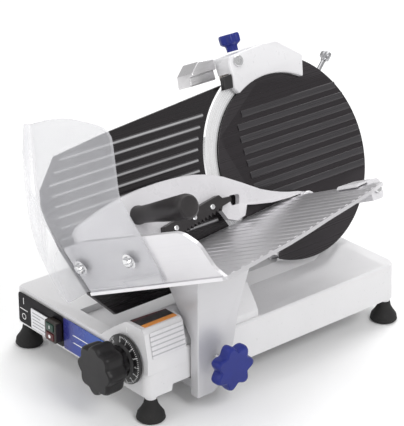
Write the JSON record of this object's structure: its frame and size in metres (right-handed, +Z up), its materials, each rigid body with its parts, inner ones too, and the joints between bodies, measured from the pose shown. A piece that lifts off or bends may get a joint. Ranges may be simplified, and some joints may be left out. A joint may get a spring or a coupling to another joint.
{
  "type": "deli meat slicer",
  "caption": "Electric gravity-feed deli meat slicer with a tilted round blade, ribbed gauge plate, sliding food tray, clear guard, swinging pusher and top sharpener.",
  "frame": {"origin": "middle of the whole machine's outline at table height", "axes": "+X to the operator's right, +Y away from the operator, +Z up; the blade faces +X and leans back 24.9 degrees from upright"},
  "size_m": [0.4088, 0.5362, 0.3634],
  "materials": {
    "badge_plate_finish": "printed",
    "base_casting_finish": "casting with white baked enamel",
    "bearing_finish": "polished",
    "blade_finish": "polished",
    "blade_cover_finish": "dark anodised",
    "blade_pulley_finish": "polished",
    "blade_shaft_finish": "polished",
    "bottom_plate_finish": "polished",
    "cable_inlet_finish": "satin",
    "carriage_column_finish": "casting with white baked enamel",
    "carriage_knob_finish": "satin",
    "carriage_stud_finish": "polished",
    "control_panel_finish": "printed",
    "dial_plate_finish": "satin",
    "drive_belt_finish": "matt",
    "foot_front_left_finish": "matt",
    "foot_front_right_finish": "matt",
    "foot_rear_left_finish": "matt",
    "foot_rear_right_finish": "matt",
    "gauge_bracket_finish": "casting with white baked enamel",
    "gauge_guide_post_finish": "casting with white baked enamel",
    "gauge_guide_rod_finish": "polished",
    "gauge_plate_finish": "dark anodised",
    "grinding_stone_finish": "abrasive grit",
    "gripper_finish": "satin",
    "guard_finish": "clear",
    "guard_release_knob_finish": "polished",
    "guard_release_stem_finish": "polished",
    "guard_screw_left_finish": "polished",
    "guard_screw_right_finish": "polished",
    "label_side_finish": "printed",
    "label_top_finish": "printed",
    "motor_finish": "dark satin",
    "motor_housing_finish": "casting with white baked enamel",
    "motor_pulley_finish": "polished",
    "motor_shaft_finish": "polished",
    "pusher_arm_finish": "casting with white baked enamel",
    "pusher_handle_finish": "satin",
    "pusher_rod_finish": "polished",
    "pusher_sleeve_finish": "polished",
    "rating_plate_finish": "printed",
    "ring_guard_finish": "dark anodised",
    "rod_bracket_finish": "casting with white baked enamel",
    "sharpener_body_finish": "polished",
    "sharpener_catch_finish": "satin",
    "sharpener_cover_finish": "casting with white baked enamel",
    "sharpener_knob_finish": "satin",
    "sharpener_screw_finish": "polished",
    "slice_deflector_finish": "polished",
    "slide_block_finish": "polished",
    "slide_rod_finish": "polished",
    "start_button_finish": "printed",
    "stop_button_finish": "printed",
    "switch_housing_finish": "printed",
    "thickness_cam_finish": "polished",
    "thickness_knob_finish": "satin",
    "thickness_spindle_finish": "polished",
    "tray_finish": "polished",
    "truing_stone_finish": "abrasive grit"
  },
  "bodies": {
    "base": {"badge_plate": "badge_plate_finish", "base_casting": "base_casting_finish", "bearing": "bearing_finish", "blade_cover": "blade_cover_finish", "bottom_plate": "bottom_plate_finish", "cable_inlet": "cable_inlet_finish", "control_panel": "control_panel_finish", "drive_belt": "drive_belt_finish", "foot_front_left": "foot_front_left_finish", "foot_front_right": "foot_front_right_finish", "foot_rear_left": "foot_rear_left_finish", "foot_rear_right": "foot_rear_right_finish", "gauge_guide_post": "gauge_guide_post_finish", "guard_release_stem": "guard_release_stem_finish", "label_side": "label_side_finish", "label_top": "label_top_finish", "motor": "motor_finish", "motor_housing": "motor_housing_finish", "rating_plate": "rating_plate_finish", "ring_guard": "ring_guard_finish", "sharpener_body": "sharpener_body_finish", "sharpener_catch": "sharpener_catch_finish", "sharpener_cover": "sharpener_cover_finish", "sharpener_screw": "sharpener_screw_finish", "slice_deflector": "slice_deflector_finish", "slide_rod": "slide_rod_finish", "switch_housing": "switch_housing_finish"},
    "carriage": {"tray": "tray_finish", "carriage_column": "carriage_column_finish", "guard": "guard_finish", "guard_screw_left": "guard_screw_left_finish", "guard_screw_right": "guard_screw_right_finish", "rod_bracket": "rod_bracket_finish", "pusher_rod": "pusher_rod_finish", "carriage_stud": "carriage_stud_finish", "slide_block": "slide_block_finish"},
    "carriage_knob": {"carriage_knob": "carriage_knob_finish"},
    "pusher_slider": {"pusher_sleeve": "pusher_sleeve_finish"},
    "pusher": {"pusher_arm": "pusher_arm_finish", "pusher_handle": "pusher_handle_finish", "gripper": "gripper_finish"},
    "blade": {"blade": "blade_finish", "blade_shaft": "blade_shaft_finish", "blade_pulley": "blade_pulley_finish"},
    "motor_rotor": {"motor_shaft": "motor_shaft_finish", "motor_pulley": "motor_pulley_finish"},
    "thickness_dial": {"dial_plate": "dial_plate_finish", "thickness_knob": "thickness_knob_finish", "thickness_spindle": "thickness_spindle_finish", "thickness_cam": "thickness_cam_finish"},
    "gauge": {"gauge_plate": "gauge_plate_finish", "gauge_bracket": "gauge_bracket_finish", "gauge_guide_rod": "gauge_guide_rod_finish"},
    "start_button": {"start_button": "start_button_finish"},
    "stop_button": {"stop_button": "stop_button_finish"},
    "sharpener_knob": {"sharpener_knob": "sharpener_knob_finish"},
    "grinding_stone": {"grinding_stone": "grinding_stone_finish"},
    "truing_stone": {"truing_stone": "truing_stone_finish"},
    "guard_release": {"guard_release_knob": "guard_release_knob_finish"}
  },
  "joints": [
    {"name": "carriage_slide", "type": "slide", "parent": "base", "child": "carriage", "axis": [0, 1, 0], "range_m": [0, 0.24]},
    {"name": "carriage_knob_turn", "type": "hinge", "parent": "carriage", "child": "carriage_knob", "pos_m": [0.09211, -0.12157, 0.063], "axis": [1, 0, 0], "range_deg": [-720, 0]},
    {"name": "pusher_slide", "type": "slide", "parent": "carriage", "child": "pusher_slider", "axis": [0.907, 0, 0.421], "range_m": [0, 0.07]},
    {"name": "pusher_swing", "type": "hinge", "parent": "pusher_slider", "child": "pusher", "pos_m": [-0.02773, 0.12293, 0.15681], "axis": [0.907, 0, 0.421], "range_deg": [-75, 0]},
    {"name": "blade_spin", "type": "hinge", "parent": "base", "child": "blade", "pos_m": [-0.07936, 0.12523, 0.19679], "axis": [0.907, 0, 0.421], "continuous": true},
    {"name": "motor_spin", "type": "hinge", "parent": "base", "child": "motor_rotor", "pos_m": [-0.04419, 0.12523, 0.14476], "axis": [0.907, 0, 0.421], "continuous": true},
    {"name": "thickness_turn", "type": "hinge", "parent": "base", "child": "thickness_dial", "pos_m": [0.02711, -0.20957, 0.072], "axis": [0, 1, 0], "range_deg": [0, 330]},
    {"name": "gauge_slide", "type": "slide", "parent": "base", "child": "gauge", "axis": [-0.907, 0, -0.421], "range_m": [0, 0.01497]},
    {"name": "start_press", "type": "slide", "parent": "base", "child": "start_button", "axis": [0, 1, 0], "range_m": [0, 0.0025], "stiffness_N_per_m": 500},
    {"name": "stop_press", "type": "slide", "parent": "base", "child": "stop_button", "axis": [0, 1, 0], "range_m": [0, 0.0025], "stiffness_N_per_m": 500},
    {"name": "sharpener_turn", "type": "hinge", "parent": "base", "child": "sharpener_knob", "pos_m": [-0.14462, 0.09623, 0.33738], "axis": [-0.421, 0, 0.907], "range_deg": [-360, 0]},
    {"name": "grinding_spin", "type": "hinge", "parent": "base", "child": "grinding_stone", "pos_m": [-0.14132, 0.09123, 0.29702], "axis": [0.907, 0, 0.421], "continuous": true},
    {"name": "truing_spin", "type": "hinge", "parent": "base", "child": "truing_stone", "pos_m": [-0.14216, 0.11923, 0.29883], "axis": [0.907, 0, 0.421], "continuous": true},
    {"name": "guard_release_turn", "type": "hinge", "parent": "base", "child": "guard_release", "pos_m": [-0.14043, 0.25432, 0.28085], "axis": [-0.261, 0.7848, 0.5622], "range_deg": [-360, 0]}
  ],
  "couplings": [
    {"joint": "motor_spin", "follows": "blade_spin", "ratio": 3.7315},
    {"joint": "thickness_turn", "follows": "gauge_slide", "rad_per_m": 384.62}
  ]
}
